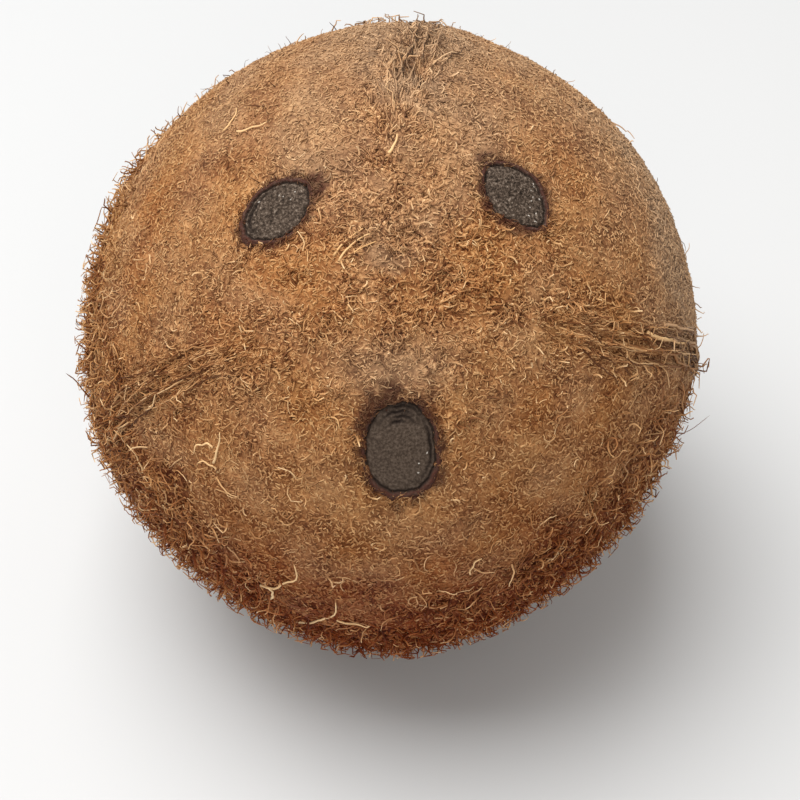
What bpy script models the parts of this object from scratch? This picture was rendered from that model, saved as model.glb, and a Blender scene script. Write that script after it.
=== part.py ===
"""A mature coconut with its outer husk taken off, in metres, +Z up.

The nut is one grown solid: an ovoid with three raised seams that run from the eye end to the far
end, three shallow pores at the eye end, and one small flat spot that it rests on. It lies tipped,
so that the pores look forward (-Y) and up. The origin is the middle of the flat spot.

The shape is first made in the nut's own frame, with the eye end up: a point is given by its polar
angle, 0 at the eye end, and its azimuth round the nut's axis. The whole is then tipped forward and
lowered until the flat spot is at height 0.
"""

import math

import bmesh
import bpy
from mathutils import Matrix, Vector

NAME = "coconut"

# The ovoid, from its widest section to its sides and its two ends.
HALF_WIDTH = 0.0563
HALF_LENGTH = 0.0620
TAPER = 0.035
BEAK_HEIGHT = 0.0022
BEAK_ANGLE = math.radians(17.0)

# The tip from upright to how it lies: the nut's axis then points 51 degrees above the horizontal.
TIP_FORWARD = math.radians(39.0)

# The three seams, and the sides that are fuller or flatter than the ovoid: azimuth, height, which
# is negative on a flatter side, and half-width.
SEAMS = {
    "crown_seam": (math.radians(86.0), 0.0020, math.radians(13.0)),
    "left_seam": (math.radians(203.0), 0.0010, math.radians(15.0)),
    "right_seam": (math.radians(351.0), 0.0004, math.radians(8.0)),
}
SIDES = {
    "full_soft_eye_side": (math.radians(268.0), 0.0019, math.radians(22.0)),
    "full_right_shoulder": (math.radians(38.0), 0.0007, math.radians(30.0)),
    "flat_left_shoulder": (math.radians(142.0), -0.0010, math.radians(22.0)),
    "flat_right_haunch": (math.radians(322.0), -0.0012, math.radians(30.0)),
}
FADE_AT_EYE_END = math.radians(38.0)

# The three pores: azimuth, polar angle, half-length, half-width, and how far the long side is
# turned from pointing at the eye end's middle.
PORES = {
    "left_pore": (math.radians(146.0), math.radians(21.0), 0.0062, 0.0046, math.radians(69.0)),
    "right_pore": (math.radians(37.0), math.radians(24.0), 0.0065, 0.0049, math.radians(95.0)),
    "soft_pore": (math.radians(273.0), math.radians(24.8), 0.0078, 0.0057, math.radians(-2.0)),
}
PORE_DEPTH = 0.0014
PORE_ROUNDNESS = 0.0010

FLAT_SPOT_DEPTH = 0.0016

SEGMENTS = 84
RINGS = 42
CUTTER_SEGMENTS = 28
CUTTER_RINGS = 14

HUSK_COLOUR = (0.301, 0.157, 0.072, 1.0)
HUSK_ROUGHNESS = 0.95


def clear_scene():
    for item in list(bpy.data.objects):
        bpy.data.objects.remove(item)


def new_collection(name):
    collection = bpy.data.collections.new(name)
    bpy.context.scene.collection.children.link(collection)
    return collection


def rise(azimuth, centre, height, half_width):
    """A smooth rise round one azimuth, or a dip where height is negative, which fades on both sides."""
    apart = math.remainder(azimuth - centre, math.tau)
    return height * math.exp(-((apart / half_width) ** 2))


def nut_point(polar, azimuth):
    """The point of the nut's surface in its own frame, eye end up."""
    fade = 1.0 - math.exp(-((polar / FADE_AT_EYE_END) ** 2))
    rises = [*SEAMS.values(), *SIDES.values()]
    lift = sum(rise(azimuth, *numbers) for numbers in rises) * fade * math.sin(polar)
    across = HALF_WIDTH * math.sin(polar) * (1.0 + TAPER * math.cos(polar)) + lift
    beak = BEAK_HEIGHT * math.exp(-(((math.pi - polar) / BEAK_ANGLE) ** 2))
    along = HALF_LENGTH * math.cos(polar) - beak
    return Vector((across * math.cos(azimuth), across * math.sin(azimuth), along))


def surface_frame(polar, azimuth):
    """A matrix at a point of the surface: X away from the eye end, Y round the nut, Z outwards."""
    step = math.radians(0.5)
    place = nut_point(polar, azimuth)
    away = (nut_point(polar + step, azimuth) - nut_point(polar - step, azimuth)).normalized()
    around = (nut_point(polar, azimuth + step) - nut_point(polar, azimuth - step)).normalized()
    outwards = away.cross(around).normalized()
    around = outwards.cross(away)
    turn = Matrix((away, around, outwards)).transposed().to_4x4()
    return Matrix.Translation(place) @ turn


def husk_material():
    material = bpy.data.materials.new("coir_husk")
    material.use_nodes = True
    shader = material.node_tree.nodes["Principled BSDF"]
    shader.inputs["Base Color"].default_value = HUSK_COLOUR
    shader.inputs["Roughness"].default_value = HUSK_ROUGHNESS
    shader.inputs["Metallic"].default_value = 0.0
    return material


def ball(name, segments, rings, collection):
    """A unit ball as a new object, in a collection."""
    shape = bmesh.new()
    bmesh.ops.create_uvsphere(shape, u_segments=segments, v_segments=rings, radius=1.0)
    mesh = bpy.data.meshes.new(name)
    shape.to_mesh(mesh)
    shape.free()
    item = bpy.data.objects.new(name, mesh)
    collection.objects.link(item)
    return item


def make_nut(collection, tipped):
    """The uncut nut: a ball whose every point is moved to the ovoid, and the whole tipped."""
    nut = ball(NAME, SEGMENTS, RINGS, collection)
    for vertex in nut.data.vertices:
        polar = math.acos(max(-1.0, min(1.0, vertex.co.z)))
        azimuth = math.atan2(vertex.co.y, vertex.co.x)
        vertex.co = tipped @ nut_point(polar, azimuth)
    nut.data.shade_smooth()
    nut.data.materials.append(husk_material())
    return nut


def make_pore_cutter(name, numbers, collection, tipped):
    """A flattened ball that sinks into the surface by the pore's depth."""
    azimuth, polar, half_length, half_width, turned = numbers
    cutter = ball(name + "_cutter", CUTTER_SEGMENTS, CUTTER_RINGS, collection)
    # The ball's middle stands a little above the surface, where it is slightly narrower.
    half_height = PORE_DEPTH + PORE_ROUNDNESS
    narrowing = math.sqrt(1.0 - (PORE_ROUNDNESS / half_height) ** 2)
    size = Matrix.Diagonal((half_length / narrowing, half_width / narrowing, half_height, 1.0))
    lifted = Matrix.Translation((0.0, 0.0, PORE_ROUNDNESS))
    place = surface_frame(polar, azimuth) @ Matrix.Rotation(turned, 4, "Z") @ lifted
    cutter.data.transform(tipped @ place @ size)
    return cutter


def make_floor_cutter(collection):
    """A block whose top is the plane that the nut rests on."""
    side = 4.0 * HALF_WIDTH
    shape = bmesh.new()
    bmesh.ops.create_cube(shape, size=side)
    bmesh.ops.translate(shape, verts=shape.verts, vec=(0.0, 0.0, -side / 2))
    mesh = bpy.data.meshes.new("floor_cutter")
    shape.to_mesh(mesh)
    shape.free()
    cutter = bpy.data.objects.new("floor_cutter", mesh)
    collection.objects.link(cutter)
    return cutter


def cut(item, cutter):
    cutter.hide_render = True
    cutter.display_type = "WIRE"
    boolean = item.modifiers.new(cutter.name, "BOOLEAN")
    boolean.operation = "DIFFERENCE"
    boolean.solver = "EXACT"
    boolean.object = cutter


def tip_and_settle():
    """The matrix that tips the nut forward and brings its lowest point just below the origin."""
    tip = Matrix.Rotation(TIP_FORWARD, 4, "X")
    steps = 720
    points = [
        tip @ nut_point(math.pi * i / steps, math.radians(azimuth))
        for i in range(steps + 1)
        for azimuth in (90.0, 270.0)
    ]
    lowest = min(points, key=lambda point: point.z)
    return Matrix.Translation((0.0, -lowest.y, -lowest.z - FLAT_SPOT_DEPTH)) @ tip


def main():
    clear_scene()
    parts = new_collection(NAME + "_parts")
    cutters = new_collection(NAME + "_cutters")
    tipped = tip_and_settle()
    nut = make_nut(parts, tipped)
    for name, numbers in PORES.items():
        cut(nut, make_pore_cutter(name, numbers, cutters, tipped))
    cut(nut, make_floor_cutter(cutters))


main()
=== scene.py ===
# %% [markdown]
# # The skin and fibres of a dehusked coconut
#
# A coconut is sold with its thick outer husk torn off. What stays on the hard shell is a skin of
# coir: short brown fibres matted like felt where the husk came away cleanly, and loose curly ones
# where it tore. Three seams run from the eye end over the sides, and three dark pores, the eyes,
# sit between them. This script builds that skin around the solid nut: a fine relief first, then
# the plugs of the pores, then the fibres, layer by layer.

# %% Load the fixed frame
from functools import partial
from math import cos, pi, radians, sin, tan, tau

import bmesh
import bpy
import numpy as np
from mathutils import Matrix, Vector
from mathutils.bvhtree import BVHTree


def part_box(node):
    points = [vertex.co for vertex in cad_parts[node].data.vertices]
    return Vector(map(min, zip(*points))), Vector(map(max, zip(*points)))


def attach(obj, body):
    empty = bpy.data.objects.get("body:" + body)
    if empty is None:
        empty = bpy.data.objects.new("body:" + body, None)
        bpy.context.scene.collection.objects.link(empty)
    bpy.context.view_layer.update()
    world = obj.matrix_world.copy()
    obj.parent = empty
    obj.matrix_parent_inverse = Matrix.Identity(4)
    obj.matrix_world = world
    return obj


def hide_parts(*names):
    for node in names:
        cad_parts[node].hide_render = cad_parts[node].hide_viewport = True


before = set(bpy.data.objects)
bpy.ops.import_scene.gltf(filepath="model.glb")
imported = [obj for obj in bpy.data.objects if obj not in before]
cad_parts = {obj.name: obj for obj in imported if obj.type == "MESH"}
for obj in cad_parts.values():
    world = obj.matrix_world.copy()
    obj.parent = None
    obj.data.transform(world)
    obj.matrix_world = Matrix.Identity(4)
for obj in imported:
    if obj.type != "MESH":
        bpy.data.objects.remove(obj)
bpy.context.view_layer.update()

NODE = "coconut"
BODY = "root"
MM = 0.001
low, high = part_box(NODE)
print("the nut measures", [round(side / MM, 1) for side in high - low], "mm")

# %% [markdown]
# ## Where things are on the nut
#
# Places on a nut are easiest to give as a sailor gives them on a globe. The polar angle is 0 at
# the eye end, and the azimuth goes round the nut's own axis. The nut lies tipped forward, so one
# rotation turns its own frame into the room's. The angles are the solid's own.

# %% The nut's own frame
TIP = Matrix.Rotation(radians(39.0), 3, "X")
# The globe's middle isn't quite the box's, because the eye end leans forward.
MIDDLE_AHEAD = 0.6 * MM
MIDDLE_DROP = 1.2 * MM
MIDDLE = Vector((0.0, (low.y + high.y) / 2 + MIDDLE_AHEAD, (low.z + high.z) / 2 - MIDDLE_DROP))
SEAMS = {"crown": radians(86.0), "left": radians(203.0), "right": radians(351.0)}
# Angles are in degrees; a pore's own angles start at the end of its long side that points away.
# A groove is its ring, its middle and its spread; the specks are their number and their side.
PORES = {
    "left_pore": dict(
        azimuth=146.0, polar=21.0, long=6.2 * MM, wide=4.6 * MM, turn=69.0, corners=1.75,
        grain=1.0, stain=170.0, specks=(5, 215.0), grooves=((0.80, 305.0, 60.0), (0.83, 330.0, 50.0)),
    ),
    "right_pore": dict(
        azimuth=37.0, polar=24.0, long=6.5 * MM, wide=4.9 * MM, turn=95.0, corners=1.55,
        grain=1.15, stain=70.0, specks=(11, 225.0), grooves=(),
    ),
    "soft_pore": dict(
        azimuth=273.0, polar=24.8, long=7.8 * MM, wide=5.7 * MM, turn=-2.0, corners=2.15,
        grain=0.45, stain=200.0, specks=(3, 60.0),
        grooves=((0.84, 95.0, 45.0), (0.88, 175.0, 40.0), (0.77, 186.0, 40.0),
                 (0.67, 172.0, 30.0), (0.57, 188.0, 22.0)),
    ),
}
print("middle of the nut:", [round(c / MM, 1) for c in MIDDLE], "mm; pores:", list(PORES))


def globe(points):
    """The polar angle, azimuth and distance from the middle of each row of points."""
    own = (points - np.array(MIDDLE)) @ np.array(TIP)
    far = np.linalg.norm(own, axis=1)
    return np.arccos(np.clip(own[:, 2] / far, -1, 1)), np.arctan2(own[:, 1], own[:, 0]), far


def direction(polar, azimuth):
    """The unit vector, in the room, at a place on the globe."""
    flat = sin(polar)
    return TIP @ Vector((flat * cos(azimuth), flat * sin(azimuth), cos(polar)))


def turned(azimuth, centre):
    """How far each azimuth is from a centre, from minus half a turn to half a turn."""
    return (azimuth - centre + pi) % tau - pi


def ramp(x, start, end):
    """0 before start, 1 after end, and smooth between; start may be the larger."""
    t = np.clip((x - start) / (end - start), 0, 1)
    return t * t * (3 - 2 * t)


def hill(x, width):
    """1 at zero, falling smoothly to nothing about two widths away."""
    return np.exp(-((x / width) ** 2))


# %% [markdown]
# ## The camera, the floor and the light
#
# The camera looks down at the eye end from 43 degrees above the horizon, through a long lens, so
# that the nut keeps its round shape. A broad soft light hangs overhead and a weak one stands at
# the front, over a pale matt floor.

# %% Camera
CAMERA_ELEVATION = radians(43.0)
CAMERA_DISTANCE = 0.3445
AIM_DOWN = radians(1.98)
AIM_RIGHT = radians(0.36)
CAMERA_LENS = 82.0
CAMERA_SENSOR = 36.0


def placed(name, data):
    """A new object in the scene, at the origin."""
    thing = bpy.data.objects.new(name, data)
    bpy.context.scene.collection.objects.link(thing)
    return thing


back = Vector((0, -cos(CAMERA_ELEVATION), sin(CAMERA_ELEVATION)))
camera = placed("camera", bpy.data.cameras.new("camera"))
camera.data.sensor_width = CAMERA_SENSOR
camera.data.lens = CAMERA_LENS
camera.location = MIDDLE + back * CAMERA_DISTANCE
camera.rotation_euler = (pi / 2 - CAMERA_ELEVATION - AIM_DOWN, 0, -AIM_RIGHT)
bpy.context.scene.camera = camera
print("the camera stands", CAMERA_DISTANCE, "m from the middle of the nut")


# %% Floor, and how colours are given
def linear(code):
    """An sRGB hex colour as linear red, green, blue and alpha."""
    parts = [int(code[i : i + 2], 16) / 255 for i in (1, 3, 5)]
    return [c / 12.92 if c <= 0.04045 else ((c + 0.055) / 1.055) ** 2.4 for c in parts] + [1.0]


FLOOR_SIDE = 6.0
FLOOR_SQUARES = 8
floor_shape = bmesh.new()
bmesh.ops.create_grid(
    floor_shape, x_segments=FLOOR_SQUARES, y_segments=FLOOR_SQUARES, size=FLOOR_SIDE / 2
)
floor = placed("floor", bpy.data.meshes.new("floor"))
floor_shape.to_mesh(floor.data)
floor_shape.free()
# Matt paper has no gloss, so the floor shows nothing but soft shade.
paper = bpy.data.materials.new("matt_paper_sweep")
paper.use_nodes = True
paper.node_tree.nodes["Principled BSDF"].inputs["Base Color"].default_value = linear("#cbced3")
paper.node_tree.nodes["Principled BSDF"].inputs["Roughness"].default_value = 0.9
floor.data.materials.append(paper)
print("the floor is", FLOOR_SIDE, "m square")

# %% Lights: place, side in metres, power in watts and tint
LIGHTS = {
    "overhead": ((-0.30, 0.02, 1.10), 0.90, 17.0, "#fffcf6"),
    "front": ((0.10, -1.15, 0.75), 0.80, 4.5, "#fff4e6"),
}
SKY_STRENGTH = 0.45
for name, (place, side, power, tint) in LIGHTS.items():
    lamp = placed(name, bpy.data.lights.new(name, "AREA"))
    lamp.data.size = side
    lamp.data.energy = power
    lamp.data.color = linear(tint)[:3]
    lamp.location = place
    lamp.rotation_euler = (MIDDLE - Vector(place)).to_track_quat("-Z", "Y").to_euler()

sky = bpy.data.worlds.new("studio")
sky.use_nodes = True
sky.node_tree.nodes["Background"].inputs["Color"].default_value = linear("#fbf8f2")
sky.node_tree.nodes["Background"].inputs["Strength"].default_value = SKY_STRENGTH
bpy.context.scene.world = sky
bpy.context.scene.view_settings.view_transform = "Standard"
print("lights:", list(LIGHTS))

# %% [markdown]
# ## The skin's own shape
#
# The skin of felted coir follows the solid nut. It could be the solid's own mesh, but that is
# coarse and has poles. So a fine ball of squares is made from a cube, which has no pole, and each
# of its points is dropped onto the solid along the line to the middle.

# %% A ball of squares
CUTS = 126
MAP_NAME = "OFBake"
MAP_MARGIN = 0.01


def square_ball(cuts):
    """A unit ball of squares, with a map that sets its six sides side by side, three by two."""
    shape = bmesh.new()
    bmesh.ops.create_cube(shape, size=2.0)
    bmesh.ops.subdivide_edges(shape, edges=shape.edges, cuts=cuts, use_grid_fill=True)
    layer = shape.loops.layers.uv.new(MAP_NAME)
    for face in shape.faces:
        middle = face.calc_center_median()
        axis = max(range(3), key=lambda i: abs(middle[i]))
        number = axis + 3 * (middle[axis] > 0)
        sideways, along = [i for i in range(3) if i != axis]
        for loop in face.loops:
            u, v = (MAP_MARGIN + (0.5 - MAP_MARGIN) * (loop.vert.co[i] + 1) for i in (sideways, along))
            loop[layer].uv = ((number % 3 + u) / 3, (number // 3 + v) / 2)
    for vertex in shape.verts:
        # The tangent makes the squares nearly equal once they lie on the ball.
        vertex.co = Vector([tan(c * pi / 4) for c in vertex.co]).normalized()
    mesh = bpy.data.meshes.new("ball")
    shape.to_mesh(mesh)
    shape.free()
    return mesh


skin = square_ball(CUTS)
rays = np.empty(len(skin.vertices) * 3, np.float32)
skin.vertices.foreach_get("co", rays)
rays = rays.reshape(-1, 3).astype(float)
print("the ball has", len(skin.polygons), "squares, 2 triangles each")

# %% Dropping it onto the solid
reach = 2 * max(high - low)


def casting_surface(mesh):
    """A mesh as a surface that lines can be cast at."""
    return BVHTree.FromPolygons([v.co for v in mesh.vertices], [p.vertices for p in mesh.polygons])


def cast(surface, heading):
    """Where a line from outside to the middle lands: the place, normal, face and distance."""
    return surface.ray_cast(MIDDLE + heading * reach, -heading)


solid = casting_surface(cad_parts[NODE].data)
radius = np.array([reach - cast(solid, Vector(ray))[3] for ray in rays])
places = np.array(MIDDLE) + rays * radius[:, None]
print("the solid is", round(radius.min() / MM, 1), "to", round(radius.max() / MM, 1), "mm from the middle")

# %% [markdown]
# ### Rings round each pore
#
# A pore is an oval with more or less pointed ends. A superellipse gives every such outline with
# one number for its corners, and the same formula numbers the rings round it: 0 in the middle of
# the pore and 1 on its rim. The pit, its stain and its plug all use these rings.

# %% Each pore's own place and rings
NOWHERE_NEAR = 9.0
FAR_SIDE = -20 * MM


def pore_frame(pore):
    """A matrix at the pore's middle on the solid: X along its long side, Z outwards."""
    at, down = radians(pore["azimuth"]), radians(pore["polar"])
    outwards = direction(down, at)
    away = (direction(down + 0.01, at) - direction(down - 0.01, at)).normalized()
    axes = Matrix((away, outwards.cross(away), outwards)).transposed().to_4x4()
    turn = Matrix.Rotation(radians(pore["turn"]), 4, "Z")
    return Matrix.Translation(cast(solid, outwards)[0]) @ axes @ turn


def pore_rings(points, pore):
    """Each point's ring, 0 in the pore's middle and 1 on its rim, and its angle round the pore."""
    place = np.array(pore_frame(pore))
    own = (points - place[:3, 3]) @ place[:3, :3]
    x, y = own[:, 0] / pore["long"], own[:, 1] / pore["wide"]
    ring = (np.abs(x) ** pore["corners"] + np.abs(y) ** pore["corners"]) ** (1 / pore["corners"])
    return np.where(own[:, 2] > FAR_SIDE, ring, NOWHERE_NEAR), np.arctan2(y, x)


rings = [pore_rings(places, pore) for pore in PORES.values()]
nearest_ring = np.min([ring for ring, _ in rings], axis=0)
print("points inside the pores:", np.sum(nearest_ring < 1))

# %% [markdown]
# ### Smoothing, wear and pits
#
# A little smoothing takes the solid's facets away. Where the husk was torn off it took some of the
# skin with it, so the skin is lowered there. Over each pore the skin is first bridged like a drum
# and then sunk again with a ragged edge, as felt breaks off round a hard plug.

# %% Smoothing, wear and pits
SMOOTHING = 14
BRIDGING = 240
BRIDGED_RING = 1.5
PIT_DEPTH = 1.3 * MM
WAVES = 24
# How far the torn husk took the skin down, in millimetres, for each azimuth in degrees.
WORN = {0: 0.3, 20: 0.9, 50: 0.9, 64: 0.5, 78: 0.7, 86: 1.7, 94: 0.7, 115: 0.4, 130: 0.0, 152: -0.3,
        164: 0.5, 178: 0.7, 205: 0.5, 360: 0.3}


def smoothed(mesh, values, rounds):
    """Each vertex's value, drawn towards its neighbours' mean, several times."""
    ends = np.empty(len(mesh.edges) * 2, np.int32)
    mesh.edges.foreach_get("vertices", ends)
    one, other = ends.reshape(-1, 2).T
    count = np.bincount(ends, minlength=len(values))
    for _ in range(rounds):
        total = np.bincount(one, values[other], len(values)) + np.bincount(other, values[one], len(values))
        values = (values + total / count) / 2
    return values


def cloud(points, size, seed):
    """Smooth noise from -1 to 1 at each point; size is the distance between its lumps in metres."""
    dice = np.random.default_rng(seed)
    total = np.zeros(len(points))
    for _ in range(WAVES):
        heading = dice.normal(size=3)
        heading /= np.linalg.norm(heading)
        wave = dice.uniform(0.6, 1.6) / size
        total += np.sin(points @ heading * wave * tau + dice.uniform(0, tau))
    return np.clip(total / 6, -1, 1)


radius = smoothed(skin, radius, SMOOTHING)
polar, azimuth, far = globe(places)
worn = np.interp(np.degrees(azimuth) % 360, list(WORN), list(WORN.values())) * MM
radius -= worn * ramp(polar, radians(45), radians(75))
for _ in range(BRIDGING):
    radius = np.where(nearest_ring < BRIDGED_RING, smoothed(skin, radius, 1), radius)
ragged_ring = nearest_ring + 0.07 * cloud(rays * reach / 2, 3.2 * MM, 15)
places = np.array(MIDDLE) + rays * (radius - PIT_DEPTH * ramp(ragged_ring, 1.05, 0.92))[:, None]
places[:, 2] = np.maximum(places[:, 2], 0)
skin.vertices.foreach_set("co", places.astype(np.float32).ravel())
print("the skin stands", round(places[:, 2].max() / MM, 1), "mm high")

# %% [markdown]
# ## What grows where
#
# The skin differs from place to place, and everything later reads it from attributes on the
# skin's points: how much short nap and long shag grow there, which way the fibres are combed, how
# dusty, how red and dark with painted shade, or how stained it is. Each could be painted by hand,
# but a formula of the place on the globe can be read and changed, and noise roughs it up so that no
# edge is neat.

# %% Seams, which fade out near both ends of the nut
SEAM_WIDTH = 3.6 * MM
polar, azimuth, far = globe(places)
degrees = np.degrees(azimuth) % 360
across = np.full(len(places), 1.0)
for number, centre in enumerate(SEAMS.values()):
    wander = 0.05 * np.sin(5 * polar + number)
    distance = turned(azimuth, centre + wander) * np.sin(polar) * far
    closer = np.abs(distance) < np.abs(across)
    across = np.where(closer & (np.cos(turned(azimuth, centre)) > 0), distance, across)
seam = hill(across, SEAM_WIDTH) * ramp(polar, radians(16), radians(38))
seam *= 1 - 0.7 * ramp(polar, radians(150), radians(172))
print("points on a seam:", np.sum(seam > 0.5))

# %% Round the pores: a dark stain, bare plugs and a rim of lashes
stain = np.zeros(len(places))
for pore, (ring, around) in zip(PORES.values(), rings):
    one_side = np.cos(around - radians(pore["stain"]))
    edge = 1.30 + 0.30 * cloud(places, 4 * MM, 5) + 0.20 * np.maximum(one_side, 0) ** 2
    stain = np.maximum(stain, ramp(ring, edge, edge - 0.36))
bald = ramp(ragged_ring, 1.06, 0.98)
lash = ramp(ragged_ring, 0.96, 1.02) * ramp(nearest_ring, 1.35, 1.15)
print("points stained:", np.sum(stain > 0.5), "and bare:", np.sum(bald > 0.5))

# %% Shag, where the husk tore instead of coming away cleanly
# For each azimuth, the polar angle where the shag starts, in degrees, and how thick it stands.
TORN = {0: (74, 0.10), 22: (90, 0.0), 62: (88, 0.0), 84: (64, 0.30), 92: (64, 0.30), 112: (84, 0.05),
        134: (72, 0.45), 152: (60, 0.9), 180: (50, 0.95), 200: (44, 0.95), 222: (46, 1.0),
        242: (53, 1.0), 262: (63, 1.0), 280: (55, 1.0), 300: (48, 1.0), 322: (46, 0.8),
        342: (50, 0.45), 360: (74, 0.10)}
start = np.radians(np.interp(degrees, list(TORN), [begins for begins, _ in TORN.values()]))
start = start - 0.11 * cloud(places, 13 * MM, 1) - 0.05 * cloud(places, 5 * MM, 6)
amount = np.interp(degrees, list(TORN), [thick for _, thick in TORN.values()])
shag = amount * ramp(polar, start, start + 0.22)
curls = np.clip(0.05 + 0.9 * amount * ramp(polar, start - 0.35, start), 0, 1) * (1 - bald)
# Towards the stem end the husk left clumps of shag all round.
stem_half = ramp(polar, radians(96), radians(122))
clumps = np.clip(0.45 + 0.5 * cloud(places, 22 * MM, 2), 0.05, 1)
shag = shag * (1 - stem_half) + stem_half * clumps
shag = np.clip(shag + 0.25 * cloud(places, 6 * MM, 3) * ramp(shag, 0.1, 0.5), 0, 1) * (1 - bald)
print("share of the skin under shag:", round(np.mean(shag > 0.5), 2))

# %% Crumbled felt between the pores and along the seams
tangle = np.maximum(
    hill(polar, radians(23)), hill(across, 7 * MM) * ramp(polar, radians(62), radians(35))
)
tangle *= (1 - stain) * (1 - bald) * np.clip(0.6 + 0.8 * cloud(places, 6 * MM, 8), 0, 1)
print("share of the skin crumbled:", round(np.mean(tangle > 0.5), 2))

# %% Dust, which settled on the upper side, and the fresh red of torn fibre with painted shade below
SOFT_PORE_SIDE = radians(272)
upper = ramp(degrees, 20, 60) * ramp(degrees, 160, 120)
dusty = 0.75 * hill(turned(azimuth, SEAMS["crown"]), 0.22) * ramp(polar, 0.35, 0.7)
dusty += 0.9 * hill(turned(azimuth, radians(14)), 0.5) * ramp(polar, 0.65, 1.1)
dust = np.clip(0.22 + 0.36 * upper + dusty + 0.15 * cloud(places, 13 * MM, 4), 0, 1) * (1 - 0.8 * shag)
dust *= 1 - 0.45 * tangle
# The felt is greyest between the eye end and the soft pore.
greyed = hill(turned(azimuth, SOFT_PORE_SIDE), 0.9) * hill(polar - radians(13), radians(6))
dust = np.maximum(dust, 0.75 * greyed)
# Towards the underside the colour is reddened and darkened: partly the red of fresh torn fibre, partly
# painted shade.
bottom = hill(turned(azimuth, SOFT_PORE_SIDE), radians(62))
ember = np.clip(0.10 + ramp(polar, 0.50, 1.30) * bottom + 0.13 * cloud(places, 17 * MM, 7), 0, 1)
ember = np.maximum(ember, 0.5 * stem_half)
ember = np.maximum(ember, 0.22 * tangle)
print("mean dust", round(dust.mean(), 2), "and mean red", round(ember.mean(), 2))

# %% Nap, fringe and the pressed foot
nap = np.clip(1.0 - 0.40 * shag - 0.35 * stem_half, 0, 1) * (1 - bald)
fringe = 0.15 + 0.6 * shag + 0.5 * hill(turned(azimuth, radians(140)), 0.9)
fringe = np.clip(fringe, 0, 1) * (1 - bald)
foot = ramp(places[:, 2], 1.2 * MM, 0.2 * MM)
print("points pressed flat:", np.sum(foot > 0.5))

# %% The comb: fibres beside a seam lie along it, away from the eye end
axis = np.array(TIP @ Vector((0, 0, 1)))
outwards = (places - np.array(MIDDLE)) / far[:, None]
away = outwards * (outwards @ axis)[:, None] - axis
away /= np.maximum(np.linalg.norm(away, axis=1), 1e-6)[:, None]
comb = away * (0.15 + 4.0 * seam)[:, None]
print("points combed hard:", np.sum(seam > 0.9))

# %% Six patches, between the seams and on either half, and the attributes themselves
EQUATOR = radians(86)
lune = np.where(turned(azimuth, SEAMS["crown"]) > 0, 1, 0)
lune = np.where((azimuth % tau > SEAMS["left"]) & (azimuth % tau <= SEAMS["right"]), 2, lune)
patch = lune + 3 * (polar > EQUATOR)
cords = seam**2 * hill(turned(azimuth, SEAMS["right"]), 0.5) * ramp(polar, 0.6, 0.9)
FIELDS = {
    "seam": seam, "across": across, "stain": stain, "bald": bald, "shag": shag, "dust": dust,
    "ember": ember, "tangle": tangle, "nap": nap, "lash": lash, "fringe": fringe, "foot": foot,
    "strands": seam**2 * (1 - bald), "rough": 1.8 * tangle, "curls": curls, "ropes": cords,
}


def mark_points(mesh, name, values, kind="FLOAT", field="value"):
    """Stores a value on each point of a mesh, as an attribute that trees and materials can read."""
    number = np.int32 if kind == "INT" else np.float32
    mesh.attributes.new(name, kind, "POINT").data.foreach_set(field, values.astype(number).ravel())


for name, values in FIELDS.items():
    mark_points(skin, name, values)
mark_points(skin, "comb", comb, "FLOAT_VECTOR", "vector")
mark_points(skin, "patch", patch, "INT")
print("patches hold", np.bincount(patch), "points")

# %% [markdown]
# ## Nodes as a workshop tool
#
# Two Geometry Nodes trees are built below, one that raises the skin's relief and one that grows
# fibres. Each starts from an empty group with named inputs. One function adds a node to any tree,
# of shape or of colour, and another runs a tree on the skin and keeps a plain mesh.

# %% Adding a node, and building and running a tree
MATHS = "ShaderNodeMath"
VECTORS = "ShaderNodeVectorMath"
NOISE = "ShaderNodeTexNoise"
NAMED = "GeometryNodeInputNamedAttribute"
STORE = "GeometryNodeStoreNamedAttribute"


def add(tree, kind, inputs=(), operation=None, stops=(), **settings):
    """Adds a node with its settings and links and, for a colour ramp, its stops.

    Inputs are in order or by name; each is a value, a socket, or a node for its first output.
    """
    node = tree.nodes.new(kind)
    if operation:
        node.operation = operation
    for name, value in settings.items():
        setattr(node, name, value)
    for key, value in inputs.items() if isinstance(inputs, dict) else enumerate(inputs):
        if isinstance(value, bpy.types.Node):
            value = next(s for s in value.outputs if s.enabled)
        if isinstance(value, bpy.types.NodeSocket):
            tree.links.new(value, node.inputs[key])
        else:
            node.inputs[key].default_value = value
    for number, (position, code) in enumerate(stops):
        made = node.color_ramp.elements
        stop = made[number] if number < len(made) else made.new(position)
        stop.position = position
        stop.color = linear(code)
    return node


def new_group(name, inputs):
    """An empty tree with these inputs, each a kind of socket, and the sockets that give them."""
    group = bpy.data.node_groups.new(name, "GeometryNodeTree")
    for title, kind in inputs.items():
        group.interface.new_socket(title, in_out="INPUT", socket_type="NodeSocket" + kind)
    group.interface.new_socket("Result", in_out="OUTPUT", socket_type="NodeSocketGeometry")
    return group, add(group, "NodeGroupInput").outputs


def run(group, name, mesh, values):
    """Runs a tree on a mesh and returns a new object that holds the result as a plain mesh."""
    blank = placed("blank", mesh)
    modifier = blank.modifiers.new("grow", "NODES")
    modifier.node_group = group
    for socket in group.interface.items_tree:
        if socket.in_out == "INPUT" and socket.name in values:
            modifier[socket.identifier] = values[socket.name]
    graph = bpy.context.evaluated_depsgraph_get()
    made = bpy.data.meshes.new_from_object(
        blank.evaluated_get(graph), preserve_all_data_layers=True, depsgraph=graph
    )
    bpy.data.objects.remove(blank)
    made.name = name
    made.shade_smooth()
    return placed(name, made)
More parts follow.
